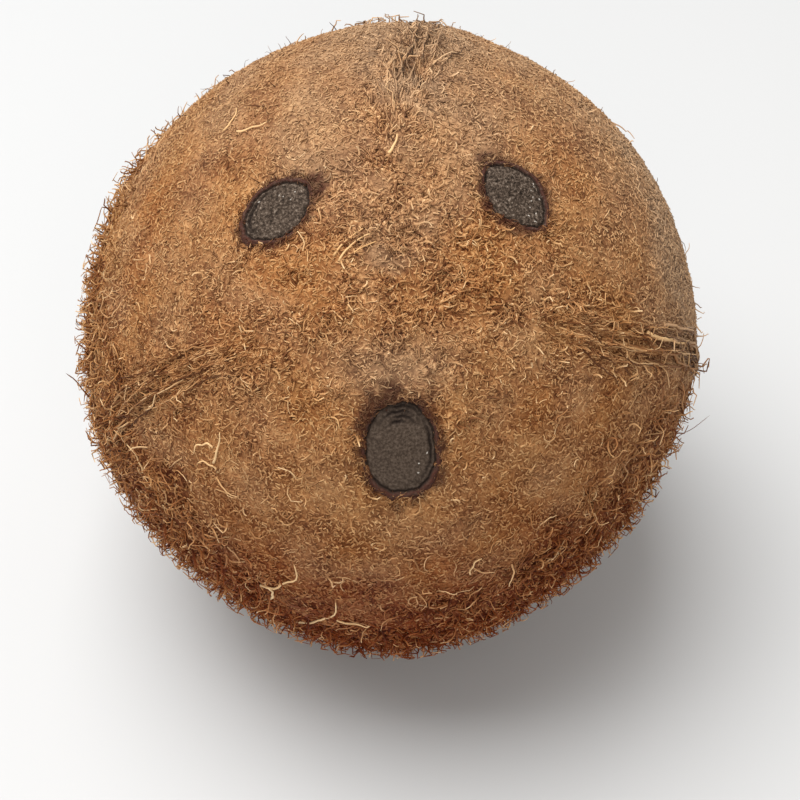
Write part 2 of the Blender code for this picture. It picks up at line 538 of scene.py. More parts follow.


# %% [markdown]
# ## What coir looks like
#
# Coir is dry plant fibre, the colour of tea: reddish brown where it is fresh, golden where it has
# bleached, grey where dust has settled. It has almost no gloss. Every fibre has its own tone, so
# the colour comes from a tone between 0 and 1 through one ramp, and the skin's attributes then
# redden, dust or stain it; the reddening also darkens the underside as painted shade.

# %% Coir's colour, shared by the skin and the fibres
TONES = (
    (0.00, "#3c1d0a"), (0.25, "#774824"), (0.50, "#a97747"), (0.75, "#cda06c"), (1.00, "#f0cfa0"),
)
# An attribute, how strongly it counts, how it's laid over the tone, and its colour.
CHANGES = (
    # The red of fresh torn fibre, together with painted shade that darkens the nut's underside.
    ("ember", 1.5, "MULTIPLY", "#c98650"),
    ("dust", 0.74, "COLOR", "#b89c80"),
    ("stain", 0.80, "MIX", "#45261e"),
)
BLEACHED = 1.15


def coir_colour(tree, tone):
    """The colour of coir for a tone, changed by the attributes where it grows."""
    colour = add(tree, "ShaderNodeValToRGB", {"Fac": tone}, stops=TONES).outputs["Color"]
    for name, most, blend, code in CHANGES:
        where = add(tree, "ShaderNodeAttribute", attribute_name=name)
        amount = add(tree, MATHS, (where.outputs["Fac"], most), "MULTIPLY")
        if name == "ember":
            # The palest tips have bleached and lose most of their red, and most of the painted shade with
            # it.
            fresh = add(tree, MATHS, (BLEACHED, tone), "SUBTRACT", use_clamp=True)
            amount = add(tree, MATHS, (amount, fresh), "MULTIPLY")
        laid = {0: amount, 6: colour, 7: linear(code)}
        colour = add(tree, "ShaderNodeMix", laid, data_type="RGBA", blend_type=blend).outputs[2]
    return colour


def new_material(name, roughness):
    """A dry plant material: hardly any gloss, since its surface is full of pores."""
    material = bpy.data.materials.new(name)
    material.use_nodes = True
    shader = material.node_tree.nodes["Principled BSDF"]
    shader.inputs["Roughness"].default_value = roughness
    shader.inputs["Specular IOR Level"].default_value = 0.15
    return material, material.node_tree, shader


print("coir has", len(TONES), "tones and", len(CHANGES), "changes")

# %% [markdown]
# ### Felted coir
#
# Felted coir is short fibre pressed and dried on the shell, torn bare when the husk came off. The
# eye sees no gloss, a mottle of three grains in two millimetres where fibres cross, broader blotches
# of some six millimetres, and under the shag dark red painted shade. Real fibres cross more closely,
# too finely to show, so the mottle is drawn coarser than it is.

# %% Felted coir, torn from the husk: matt, mottled, dark between its fibres
FELT_GRAIN = MM / 1.5
FELT_BLOTCH = MM / 0.17
FELT_CONTRAST = 0.9
CRUMBLED_CONTRAST = 1.2


def felt_material():
    material, tree, shader = new_material("felted_coir", 0.95)
    place = add(tree, "ShaderNodeTexCoord").outputs["Object"]
    fine = add(tree, NOISE, {"Vector": place, "Scale": 1 / FELT_GRAIN, "Detail": 3.0, "Roughness": 0.6,
                             "Distortion": 0.8}).outputs["Fac"]
    broad = add(tree, NOISE, {"Vector": place, "Scale": 1 / FELT_BLOTCH, "Detail": 3.0}).outputs["Fac"]
    # Where the felt is crumbled it is more mottled.
    crumbled = add(tree, "ShaderNodeAttribute", attribute_name="rough").outputs["Fac"]
    contrast = add(tree, MATHS, (crumbled, CRUMBLED_CONTRAST, FELT_CONTRAST), "MULTIPLY_ADD")
    centred = add(tree, MATHS, (fine, 0.5), "SUBTRACT")
    both = add(tree, MATHS, (centred, contrast), "MULTIPLY")
    tone = add(tree, MATHS, (broad, 0.7, both), "MULTIPLY_ADD")
    tone = add(tree, MATHS, (tone, 0.03), "ADD")
    # Under the shag little light gets in, so painted shade makes the felt there dark and red.
    cover = add(tree, "ShaderNodeAttribute", attribute_name="shag").outputs["Fac"]
    cover = add(tree, MATHS, (cover, 0.7), "MULTIPLY")
    shade_under_shag = add(tree, "ShaderNodeMix", {0: cover, 6: coir_colour(tree, tone), 7: linear("#8a4a28")},
               data_type="RGBA", blend_type="MULTIPLY")
    tree.links.new(shade_under_shag.outputs[2], shader.inputs["Base Color"])
    bump = add(tree, "ShaderNodeBump", {"Strength": 0.8, "Distance": 0.30 * MM, "Height": fine})
    tree.links.new(bump.outputs[0], shader.inputs["Normal"])
    return material


FELT = felt_material()
print("made", FELT.name)

# %% [markdown]
# ### Loose coir fibre
#
# A loose fibre is the same plant stuff, dried and twisted by itself. Its skin is whole, so it has
# a faint sheen that felt lacks. Its tone is its own, darkened towards the root by painted shade, and
# stored on it as it grows.

# %% Loose coir fibre, dried in the air: a faint sheen, each with its own tone and painted shade at the root
def fibre_material():
    material, tree, shader = new_material("loose_coir_fibre", 0.62)
    tone = add(tree, "ShaderNodeAttribute", attribute_name="tone").outputs["Fac"]
    tree.links.new(coir_colour(tree, tone), shader.inputs["Base Color"])
    return material


FIBRE = fibre_material()
print("made", FIBRE.name)

# %% [markdown]
# ## Relief of the skin
#
# The felt isn't smooth: it has low lumps a couple of centimetres apart, tufts of a few
# millimetres, grain finer than that, and rope-like strands along the seams. A bump in the material
# would only shade them, so a tree moves the skin's own points. It does so along the normal, and
# not at all where the nut's weight presses the felt flat.

# %% The relief tree: lumps, tufts, grain and strands
RELIEFS = ("Lump", "Tuft", "Grain")
STRAND_SWAY_LENGTH = 6.25 * MM
STRAND_SWAY = 2.4 * MM
relief_inputs = {"Skin": "Geometry"}
for title in RELIEFS:
    relief_inputs |= {title + " Size": "Float", title + " Height": "Float"}
relief_inputs |= {"Strand Width": "Float", "Strand Height": "Float", "Material": "Material"}
relief, given = new_group("skin_relief", relief_inputs)
node = partial(add, relief)
spot = node("GeometryNodeInputPosition")
mark = {
    name: node(NAMED, {"Name": name}, data_type="FLOAT")
    for name in ("rough", "across", "seam", "foot")
}
rough = node(MATHS, (mark["rough"], 1.0), "ADD")
total = 0.0
for title in RELIEFS:
    rate = node(MATHS, (1.0, given[title + " Size"]), "DIVIDE")
    noise = node(NOISE, {"Vector": spot, "Scale": rate, "Detail": 2.0}).outputs["Fac"]
    centred = node(MATHS, (noise, 0.5), "SUBTRACT")
    doubled = node(MATHS, (centred, 2.0), "MULTIPLY")
    raised = node(MATHS, (doubled, given[title + " Height"]), "MULTIPLY")
    height = node(MATHS, (raised, rough), "MULTIPLY")
    total = node(MATHS, (total, height), "ADD")
sway = node(NOISE, {"Vector": spot, "Scale": 1 / STRAND_SWAY_LENGTH, "Detail": 1.0}).outputs["Fac"]
shifted = node(MATHS, (sway, STRAND_SWAY, mark["across"]), "MULTIPLY_ADD")
turns = node(MATHS, (shifted, given["Strand Width"]), "DIVIDE")
angle = node(MATHS, (turns, tau), "MULTIPLY")
wave = node(MATHS, (angle,), "COSINE")
strand = node(MATHS, (wave, given["Strand Height"]), "MULTIPLY")
strand = node(MATHS, (strand, mark["seam"]), "MULTIPLY")
total = node(MATHS, (total, strand), "ADD")
kept = node(MATHS, (1.0, mark["foot"]), "SUBTRACT")
total = node(MATHS, (total, kept), "MULTIPLY")
print("the relief tree has", len(relief.nodes), "nodes so far")

# %% The relief tree: moving the skin, and keeping it off the floor
normal = node("GeometryNodeInputNormal")
lift = node(VECTORS, {0: normal, 3: total}, "SCALE")
raised = node("GeometryNodeSetPosition", {"Geometry": given["Skin"], "Offset": lift})
apart = node("ShaderNodeSeparateXYZ", (node("GeometryNodeInputPosition"),)).outputs
above = node(MATHS, (apart["Z"], 0.0), "MAXIMUM")
clear = node("ShaderNodeCombineXYZ", (apart["X"], apart["Y"], above))
settled = node("GeometryNodeSetPosition", {"Geometry": raised, "Position": clear})
whole = node("GeometryNodeRealizeInstances", {"Geometry": settled})
dressed = node("GeometryNodeSetMaterial", {"Geometry": whole, "Material": given["Material"]})
node("NodeGroupOutput", {"Result": dressed})

husk = run(relief, "felted_husk", skin, {
    "Lump Size": 24 * MM, "Lump Height": 0.5 * MM, "Tuft Size": 3.0 * MM, "Tuft Height": 0.35 * MM,
    "Grain Size": 1.5 * MM, "Grain Height": 0.22 * MM, "Strand Width": 2.1 * MM,
    "Strand Height": 0.42 * MM, "Material": FELT,
})
print("felted_husk has", len(husk.data.polygons), "faces")

# %% [markdown]
# ## The plugs of the pores
#
# Each pore is closed by a dark cork-like plug that sits a little below the felt: granular on the
# two hard eyes, smoother and ringed on the soft one. A cap cut from a ball would do for the dome,
# but rings that follow the pore's own outline let the gap and the grooves follow it too. So each
# plug is a closed lens, a disc of rings whose top is roughened and whose edge turns down under the
# felt. Its cork has grains of not quite half a millimetre.

# %% Cork of the pores, dried grey brown: dull, gritty, with a few pale grains
CORK_TONES = ((0.15, "#15100d"), (0.42, "#3f342c"), (0.60, "#62554b"), (0.90, "#a1968b"))
# The lip's own colour, painted shade in the gap and grooves, and pale specks, laid over the cork.
CORK_MARKS = (("lip", "#4a2a22"), ("gap_shade", "#150c0a"), ("speck", "#e6e0d8"))
CORK_GRAIN = MM / 2.3
CORK_TONE = 0.46


def cork_material():
    material, tree, shader = new_material("dry_pore_cork", 0.8)
    place = add(tree, "ShaderNodeTexCoord").outputs["Object"]
    noise = add(tree, NOISE, {"Vector": place, "Scale": 1 / CORK_GRAIN, "Detail": 2.0, "Roughness": 0.7})
    centred = add(tree, MATHS, (noise.outputs["Fac"], 0.5), "SUBTRACT")
    strong = add(tree, "ShaderNodeAttribute", attribute_name="grain").outputs["Fac"]
    grain = add(tree, MATHS, (centred, strong, CORK_TONE), "MULTIPLY_ADD")
    colour = add(tree, "ShaderNodeValToRGB", {"Fac": grain}, stops=CORK_TONES).outputs["Color"]
    for name, code in CORK_MARKS:
        where = add(tree, "ShaderNodeAttribute", attribute_name=name).outputs["Fac"]
        laid = {0: where, 6: colour, 7: linear(code)}
        colour = add(tree, "ShaderNodeMix", laid, data_type="RGBA").outputs[2]
    tree.links.new(colour, shader.inputs["Base Color"])
    bump = add(tree, "ShaderNodeBump", {"Strength": 0.6, "Distance": 0.2 * MM, "Height": grain})
    tree.links.new(bump.outputs[0], shader.inputs["Normal"])
    return material


CORK = cork_material()
print("made", CORK.name)

# %% A plug's rings, from its middle to the lip under the felt
RINGS = 48
SPOKES = 144
OUTERMOST = 1.26
PIT_LEVEL = 1.40 * MM
PLUG_BOTTOM = -2.6 * MM
GRAIN_HEIGHT = 0.07
GROOVE_DEPTH = 0.45
GROOVE_WIDTH = 0.045
# Height against the felt's level in mm, from the middle of the plug to the lip's far side.
PROFILE = {0.0: -0.20, 0.70: -0.22, 0.86: -0.28, 0.93: -0.42, 0.965: -0.75, 1.0: -0.35,
           1.03: -0.15, 1.07: -0.14, 1.14: -0.40, OUTERMOST: -1.0}


def plug_rings(pore, seed):
    """A plug's points in rows of one ring each, in the pore's own frame, and the marks on them."""
    dice = np.random.default_rng(seed)
    around = np.arange(SPOKES) * tau / SPOKES
    rim = (np.abs(np.cos(around)) ** pore["corners"] + np.abs(np.sin(around)) ** pore["corners"])
    rim = rim ** (-1 / pore["corners"])
    wobble = 0.02 * np.sin(3 * around + seed) + 0.012 * np.sin(8 * around + 2 * seed)
    wobble += 0.012 * np.sin(17 * around + 5 * seed)
    share = np.linspace(0, OUTERMOST, RINGS + 1)[1:, None]
    out = share * rim * (1 + wobble)
    x, y = pore["long"] * out * np.cos(around), pore["wide"] * out * np.sin(around)
    # The plug is domed like the nut round it.
    nut_radius = (pore_frame(pore).translation - MIDDLE).length
    level = PIT_LEVEL - (x**2 + y**2) / (2 * nut_radius)
    height = np.interp(share, list(PROFILE), list(PROFILE.values())) * MM + 0 * x
    groove = np.zeros_like(x)
    for centre, towards, spread in pore["grooves"]:
        reached = hill(turned(around, radians(towards)), radians(spread))
        groove = np.maximum(groove, hill(share - centre, GROOVE_WIDTH) * reached)
    grains = dice.normal(size=x.shape) * ramp(share, 0.0, 0.2)
    top = ramp(share, 0.95, 0.86)
    height += top * (GRAIN_HEIGHT * pore["grain"] * MM * grains - GROOVE_DEPTH * MM * groove)
    height += 0.05 * MM * grains * ramp(share, 1.0, 1.05)
    speck = np.zeros_like(x)
    count, towards = pore["specks"]
    for _ in range(count):
        angle = dice.normal(radians(towards), 0.7)
        row, column = int(dice.uniform(0.35, 0.68) * RINGS), int(angle / tau * SPOKES) % SPOKES
        speck[row, column] = 1.0
        height[row, column] += 0.15 * MM
    marks = {
        "lip": ramp(share, 0.96, 1.02) * (0.75 + 0.25 * np.clip(grains, -1, 1)),
        # Painted shade: the gap round the plug and its grooves are darkened where they sink in.
        "gap_shade": np.clip(0.9 * hill(share - 0.965, 0.035) + 0.95 * groove, 0, 1),
        "speck": speck,
        "grain": 1.25 * pore["grain"] + 0 * x,
    }
    crown = [0, 0, level[0, 0] + PROFILE[0.0] * MM]
    rows = np.stack([x, y, level + height], axis=-1).reshape(-1, 3)
    return np.vstack([rows, [crown], [[0, 0, PLUG_BOTTOM]]]), marks


print("a plug has", RINGS, "rings of", SPOKES, "points")


# %% Closing the rings into a solid plug
def closed_piece(shape, name, material):
    """A new object from a closed shape, its faces turned outwards, in one material."""
    bmesh.ops.recalc_face_normals(shape, faces=shape.faces)
    mesh = bpy.data.meshes.new(name)
    shape.to_mesh(mesh)
    shape.free()
    mesh.shade_smooth()
    mesh.materials.append(material)
    return placed(name, mesh)


def make_plug(name, pore, seed):
    """A closed plug in a pore, with grains on top, a gap round it darkened by painted shade, and a lip
    outside that.
    """
    points, marks = plug_rings(pore, seed)
    place = pore_frame(pore)
    shape = bmesh.new()
    made = [shape.verts.new(place @ Vector(p)) for p in points]
    top, under = made[-2:]
    last = (RINGS - 1) * SPOKES
    for i in range(SPOKES):
        j = (i + 1) % SPOKES
        shape.faces.new((top, made[i], made[j]))
        shape.faces.new((under, made[last + j], made[last + i]))
        for row in range(0, last, SPOKES):
            shape.faces.new((made[row + i], made[row + SPOKES + i], made[row + SPOKES + j], made[row + j]))
    piece = closed_piece(shape, name, CORK)
    for mark_name, values in marks.items():
        # The last two points are the plug's top and its hidden bottom.
        at_top = values[0, 0] if mark_name == "grain" else 0.0
        mark_points(piece.data, mark_name, np.append(values.ravel(), [at_top, 1.0]))
    return piece


plugs = [make_plug(name + "_plug", pore, seed + 3) for seed, (name, pore) in enumerate(PORES.items())]
print("plugs:", {plug.name: len(plug.data.polygons) for plug in plugs}, "faces")

# %% [markdown]
# ## The fibres
#
# A fibre has a root on the skin and a heading that leans over by as much as its layer stands up.
# From there it follows an arc, as torn coir curls, and noise that is shifted for each fibre keeps
# any two from curling alike. It is held between the skin and the layer's height, and it gets a
# three-sided section that thins to the tip. A smooth three-sided tube is enough at this thickness,
# and it keeps tens of thousands of them light. Hair particles could do this too, but a tree leaves
# a plain mesh, and every size in it has a name.

# %% The fibre tree: its inputs, and the marks it reads
FIBRE_INPUTS = {
    "Skin": "Geometry", "Share": "String", "Patch": "Int", "Seed": "Int", "Density": "Float",
    "Shortest": "Float", "Longest": "Float", "Thickness": "Float", "Points": "Int", "Stand": "Float",
    "Wild": "Float", "Least Turn": "Float", "Most Turn": "Float", "Waver": "Float", "Pitch": "Float",
    "Lowest": "Float", "Highest": "Float", "Middle": "Vector", "Darkest": "Float",
    "Lightest": "Float", "Shade": "Float", "Material": "Material",
}
FIBRE_MARKS = {
    "FLOAT_VECTOR": ("comb", "root", "heading", "aside", "shift"), "INT": ("patch",),
    "FLOAT": ("turn", "length", "girth", "tone", "number", "along", "round"),
}
fibres, given = new_group("coir_fibres", FIBRE_INPUTS)
node = partial(add, fibres)
mark = {
    name: node(NAMED, {"Name": name}, data_type=kind)
    for kind, names in FIBRE_MARKS.items() for name in names
}
print("the fibre tree has", len(FIBRE_INPUTS), "inputs")

# %% The fibre tree: roots, on one patch or, where the patch is below 0, on the whole nut
share = node(NAMED, {"Name": given["Share"]}, data_type="FLOAT")
mine = node("FunctionNodeCompare", {2: mark["patch"], 3: given["Patch"]}, data_type="INT",
            operation="EQUAL")
whole_nut = node("FunctionNodeCompare", {2: given["Patch"], 3: 0}, data_type="INT", operation="LESS_THAN")
mine = node("FunctionNodeBooleanMath", (mine, whole_nut), "OR")
dense = node(MATHS, (share, given["Density"]), "MULTIPLY")
dense = node(MATHS, (dense, mine), "MULTIPLY")
roots = node("GeometryNodeDistributePointsOnFaces",
             {"Mesh": given["Skin"], "Density": dense, "Seed": given["Seed"]})
normal = roots.outputs["Normal"]

# Each fibre's own draws: which of the seeds, the least and the most.
SEED_STEP = 7.0
DRAWS = {
    "FLOAT_VECTOR": {"wild": (1, (-1, -1, -1), (1, 1, 1)), "shift": (6, (-50, -50, -50), (50, 50, 50)),
                     "aside": (8, (-1, -1, -1), (1, 1, 1))},
    "FLOAT": {"stand": (2, 0.2, 1.5), "length": (3, given["Shortest"], given["Longest"]),
              "tone": (4, 0.0, 1.0), "girth": (5, 0.6, 1.25),
              "turn": (9, given["Least Turn"], given["Most Turn"])},
}
drawn = {}
for kind, draws in DRAWS.items():
    first = 0 if kind == "FLOAT_VECTOR" else 2
    for name, (which, least, most) in draws.items():
        seed = node(MATHS, (given["Seed"], which * SEED_STEP), "ADD")
        limits = {first: least, first + 1: most, "Seed": seed}
        drawn[name] = node("FunctionNodeRandomValue", limits, data_type=kind)
print("each fibre draws", list(drawn))

# %% The fibre tree: which way a fibre heads, its own tone, and a line on each root
TONE_LEAN = 1.3
wild = node(VECTORS, {0: drawn["wild"], 3: given["Wild"]}, "SCALE")
heading = node(VECTORS, (wild, mark["comb"]), "ADD")
climb = node(VECTORS, (heading, normal), "DOT_PRODUCT")
upward = node(VECTORS, {0: normal, 3: climb}, "SCALE")
lying = node(VECTORS, (heading, upward), "SUBTRACT")
lying = node(VECTORS, (lying,), "NORMALIZE")
stand = node(MATHS, (given["Stand"], drawn["stand"]), "MULTIPLY")
standing = node(VECTORS, {0: normal, 3: stand}, "SCALE")
heading = node(VECTORS, (lying, standing), "ADD")
heading = node(VECTORS, (heading,), "NORMALIZE")
aside = node(VECTORS, (heading, drawn["aside"]), "CROSS_PRODUCT")
aside = node(VECTORS, (aside,), "NORMALIZE")
tone_share = node(MATHS, (drawn["tone"], TONE_LEAN), "POWER")
tone_range = node(MATHS, (given["Lightest"], given["Darkest"]), "SUBTRACT")
tone = node(MATHS, (tone_share, tone_range, given["Darkest"]), "MULTIPLY_ADD")
ROOT_VALUES = {
    "FLOAT_VECTOR": {"root": node("GeometryNodeInputPosition"), "heading": heading,
                     "aside": aside, "shift": drawn["shift"]},
    "FLOAT": {"turn": drawn["turn"], "length": drawn["length"], "girth": drawn["girth"], "tone": tone},
}
marked = roots.outputs["Points"]
for kind, values in ROOT_VALUES.items():
    for name, value in values.items():
        marked = node(STORE, {"Geometry": marked, "Name": name, "Value": value}, data_type=kind,
                      domain="POINT")
line = node("GeometryNodeCurvePrimitiveLine", {"Start": (0, 0, 0), "End": (0, 0, MM)})
line = node("GeometryNodeResampleCurve", {"Curve": line, "Count": given["Points"]})
planted = node("GeometryNodeInstanceOnPoints", {"Points": marked, "Instance": line})
planted = node("GeometryNodeRealizeInstances", {"Geometry": planted})
print("each root keeps", [name for values in ROOT_VALUES.values() for name in values])

# %% The fibre tree: the curl, an arc of a circle that noise bends a little
BEND = 4.0
factor = node("GeometryNodeSplineParameter").outputs["Factor"]
swung = node(MATHS, (mark["turn"], factor), "MULTIPLY")
arc_radius = node(MATHS, (mark["length"], mark["turn"]), "DIVIDE")
ahead = node(MATHS, (swung,), "SINE")
ahead = node(MATHS, (ahead, arc_radius), "MULTIPLY")
sideways = node(MATHS, (swung,), "COSINE")
sideways = node(MATHS, (1.0, sideways), "SUBTRACT")
sideways = node(MATHS, (sideways, arc_radius), "MULTIPLY")
arc = mark["root"]
for way, distance in ((mark["heading"], ahead), (mark["aside"], sideways)):
    step = node(VECTORS, {0: way, 3: distance}, "SCALE")
    arc = node(VECTORS, (arc, step), "ADD")
pitches = node(MATHS, (1.0, given["Pitch"]), "DIVIDE")
moved = node(VECTORS, {0: arc, 3: pitches}, "SCALE")
moved = node(VECTORS, (moved, mark["shift"]), "ADD")
noise = node(NOISE, {"Vector": moved, "Scale": 1.0, "Detail": 1.0})
bend = node(VECTORS, (noise.outputs["Color"], (0.5, 0.5, 0.5)), "SUBTRACT")
amount = node(MATHS, (mark["length"], given["Waver"]), "MULTIPLY")
amount = node(MATHS, (amount, factor), "MULTIPLY")
amount = node(MATHS, (amount, BEND), "MULTIPLY")
bend = node(VECTORS, {0: bend, 3: amount}, "SCALE")
arc = node(VECTORS, (arc, bend), "ADD")
curled = node("GeometryNodeSetPosition", {"Geometry": planted, "Position": arc})
print("the fibre tree has", len(fibres.nodes), "nodes so far")

# %% The fibre tree: kept between the skin and the layer's height, and off the floor
spot = node("GeometryNodeInputPosition")
nearest = node("GeometryNodeProximity", {0: given["Skin"]}, target_element="FACES")
near = nearest.outputs["Position"]
lean = node(VECTORS, (near, given["Middle"]), "SUBTRACT")
lean = node(VECTORS, (lean,), "NORMALIZE")
height = node(VECTORS, (spot, near), "SUBTRACT")
height = node(VECTORS, (height, lean), "DOT_PRODUCT")
height = node(MATHS, (height, given["Highest"]), "MINIMUM")
height = node(MATHS, (height, given["Lowest"]), "MAXIMUM")
raised = node(VECTORS, {0: lean, 3: height}, "SCALE")
raised = node(VECTORS, (near, raised), "ADD")
apart = node("ShaderNodeSeparateXYZ", (raised,)).outputs
above = node(MATHS, (apart["Z"], given["Thickness"]), "MAXIMUM")
laid = node("ShaderNodeCombineXYZ", (apart["X"], apart["Y"], above))
lines = node("GeometryNodeSetPosition", {"Geometry": curled, "Position": laid})
print("the fibre tree has", len(fibres.nodes), "nodes so far")

# %% The fibre tree: a three-sided section that thins to the tip
TIP_THINNING = 0.6
taper = node(MATHS, (factor, -TIP_THINNING, 1.0), "MULTIPLY_ADD")
taper = node(MATHS, (taper, mark["girth"]), "MULTIPLY")
# Painted shade: each fibre darkens towards its root, where little light gets down among the fibres.
shade = node(MATHS, (1.0, factor), "SUBTRACT")
shade = node(MATHS, (given["Shade"], shade), "MULTIPLY")
shade = node(MATHS, (1.0, shade), "SUBTRACT")
shaded = node(MATHS, (mark["tone"], shade), "MULTIPLY")
number = node("GeometryNodeCurveOfPoint").outputs["Curve Index"]
for name, value in {"number": number, "along": factor, "tone": shaded}.items():
    lines = node(STORE, {"Geometry": lines, "Name": name, "Value": value}, data_type="FLOAT",
                 domain="POINT")
half = node(MATHS, (given["Thickness"], 0.5), "MULTIPLY")
section = node("GeometryNodeCurvePrimitiveCircle", {"Resolution": 3, "Radius": half})
section = node(STORE, {"Geometry": section, "Name": "round", "Value": factor}, data_type="FLOAT",
               domain="POINT")
tubes = node("GeometryNodeCurveToMesh",
             {"Curve": lines, "Profile Curve": section, "Scale": taper, "Fill Caps": True})
print("the fibre tree has", len(fibres.nodes), "nodes so far")

# %% The fibre tree: a map with a square for each fibre, across it round and up it along
SQUARE_USED = 0.7
SQUARE_MARGIN = 0.15
KEPT = ("tone", "dust", "ember", "stain")
many = node("GeometryNodeAttributeDomainSize", {"Geometry": lines}, component="CURVE")
many = node(MATHS, (many.outputs["Spline Count"],), "SQRT")
many = node(MATHS, (many,), "CEIL")
column = node(MATHS, (mark["number"], many), "MODULO")
row = node(MATHS, (mark["number"], many), "DIVIDE")
row = node(MATHS, (row,), "FLOOR")
sides = []
for square, within in ((column, mark["round"]), (row, mark["along"])):
    inset = node(MATHS, (within, SQUARE_USED, SQUARE_MARGIN), "MULTIPLY_ADD")
    inset = node(MATHS, (square, inset), "ADD")
    sides.append(node(MATHS, (inset, many), "DIVIDE"))
spread = node("ShaderNodeCombineXYZ", sides)
finished = node(STORE, {"Geometry": tubes, "Name": MAP_NAME, "Value": spread},
                data_type="FLOAT2", domain="CORNER")
# What the materials don't read is taken off again.
spent = {*FIELDS, *sum(FIBRE_MARKS.values(), ())}.difference(KEPT)
for name in sorted(spent):
    finished = node("GeometryNodeRemoveAttribute", {"Geometry": finished, "Name": name})
finished = node("GeometryNodeRealizeInstances", {"Geometry": finished})
finished = node("GeometryNodeSetMaterial", {"Geometry": finished, "Material": given["Material"]})
node("NodeGroupOutput", {"Result": finished})
print("taken off the finished fibres:", len(spent), "marks")

# %% [markdown]
# ## Growing the layers
#
# The nap covers all of the nut. The shag stands up where the husk tore. Strands run along the
# seams, a tangle lies between the pores, short lashes lean over the pores' rims, and a sparse
# fringe sticks out anywhere. Nap and shag have so many fibres that each is grown in six patches.
# Nap fibres are drawn thicker than real ones, which are too fine to show.

# %% The layers, with sizes in millimetres and turns in radians
USUAL = dict(Wild=1.0, Lowest=0.05)
LAYERS = {
    "nap": dict(
        Share="nap", Density=2.4, Shortest=0.35, Longest=1.05, Thickness=0.4, Points=2, Stand=0.55,
        Turns=(0.1, 0.6), Waver=0.0, Pitch=1.5, Lowest=0.03, Highest=0.3, Darkest=0.5, Lightest=0.8,
        Shade=0.08,
    ),
    "fuzz": dict(
        Share="nap", Density=0.13, Shortest=1.1, Longest=2.6, Thickness=0.28, Points=4, Stand=0.25,
        Turns=(0.3, 2.2), Waver=0.08, Pitch=1.5, Highest=0.42, Darkest=0.4, Lightest=0.9, Shade=0.12,
    ),
    "shag": dict(
        Share="shag", Density=0.62, Shortest=2.0, Longest=6.0, Thickness=0.4, Points=7, Stand=0.5,
        Turns=(0.7, 3.4), Waver=0.14, Pitch=2.2, Highest=2.6, Darkest=0.38, Lightest=1.05, Shade=0.52,
    ),
    "loose_curls": dict(
        Share="curls", Density=0.1, Shortest=2.0, Longest=5.5, Thickness=0.36, Points=8, Stand=0.35,
        Turns=(0.6, 3.4), Waver=0.12, Pitch=2.5, Highest=1.5, Darkest=0.5, Lightest=1.05, Shade=0.2,
    ),
    "seam_strands": dict(
        Share="strands", Density=0.55, Shortest=4.0, Longest=13.0, Thickness=0.36, Points=9, Stand=0.05,
        Wild=0.7, Turns=(0.05, 0.6), Waver=0.04, Pitch=4.0, Highest=0.6, Darkest=0.1, Lightest=1.0,
        Shade=0.2,
    ),
    "ropes": dict(
        Share="ropes", Density=0.16, Shortest=8.0, Longest=20.0, Thickness=0.75, Points=12, Stand=0.03,
        Wild=0.4, Turns=(0.03, 0.25), Waver=0.03, Pitch=6.0, Lowest=0.1, Highest=0.7, Darkest=0.2,
        Lightest=0.9, Shade=0.1,
    ),
    "tangle": dict(
        Share="tangle", Density=1.5, Shortest=0.7, Longest=2.7, Thickness=0.46, Points=6, Stand=0.35,
        Turns=(0.3, 2.6), Waver=0.12, Pitch=2.0, Highest=1.1, Darkest=0.3, Lightest=1.05, Shade=0.42,
    ),
    "lashes": dict(
        Share="lash", Density=4.5, Shortest=0.6, Longest=2.0, Thickness=0.26, Points=4, Stand=0.5,
        Turns=(0.4, 2.6), Waver=0.1, Pitch=2.0, Lowest=0.15, Highest=0.9, Darkest=0.1, Lightest=0.85,
        Shade=0.3,
    ),
    "fringe": dict(
        Share="fringe", Density=0.06, Shortest=0.9, Longest=2.5, Thickness=0.2, Points=5, Stand=2.2,
        Turns=(0.3, 2.0), Waver=0.08, Pitch=2.5, Highest=1.9, Darkest=0.1, Lightest=0.7, Shade=0.3,
    ),
}
SPLIT = ("nap", "shag")
LENGTHS = ("Shortest", "Longest", "Thickness", "Pitch", "Lowest", "Highest")
PATCHES = 6
WHOLE_NUT = -1
print("layers:", list(LAYERS))

# %% Growing them
coats = []
for layer_number, (layer, sizes) in enumerate(LAYERS.items()):
    sizes = USUAL | sizes
    values = {title: value * MM if title in LENGTHS else value for title, value in sizes.items()}
    values |= {
        "Density": sizes["Density"] / MM**2, "Least Turn": sizes["Turns"][0],
        "Most Turn": sizes["Turns"][1], "Middle": MIDDLE, "Material": FIBRE,
    }
    for patch_number in range(PATCHES) if layer in SPLIT else [WHOLE_NUT]:
        name = f"{layer}_{patch_number + 1}" if layer in SPLIT else layer
        values |= {"Patch": patch_number, "Seed": 10 * layer_number + patch_number + 1}
        coat = run(fibres, name, husk.data, values)
        coats.append(coat)
        print(name, "has", sum(len(f.vertices) - 2 for f in coat.data.polygons), "triangles")

# %% [markdown]
# ## A few stray hairs
#
# Some single hairs stand out on any nut: pale ones that the knife left lying across the felt, a
# small fork, and a thin one that sticks out past the edge. The tree scatters its fibres and can't
# be told where one hair goes, so these are laid one by one, from root to tip over the felt.

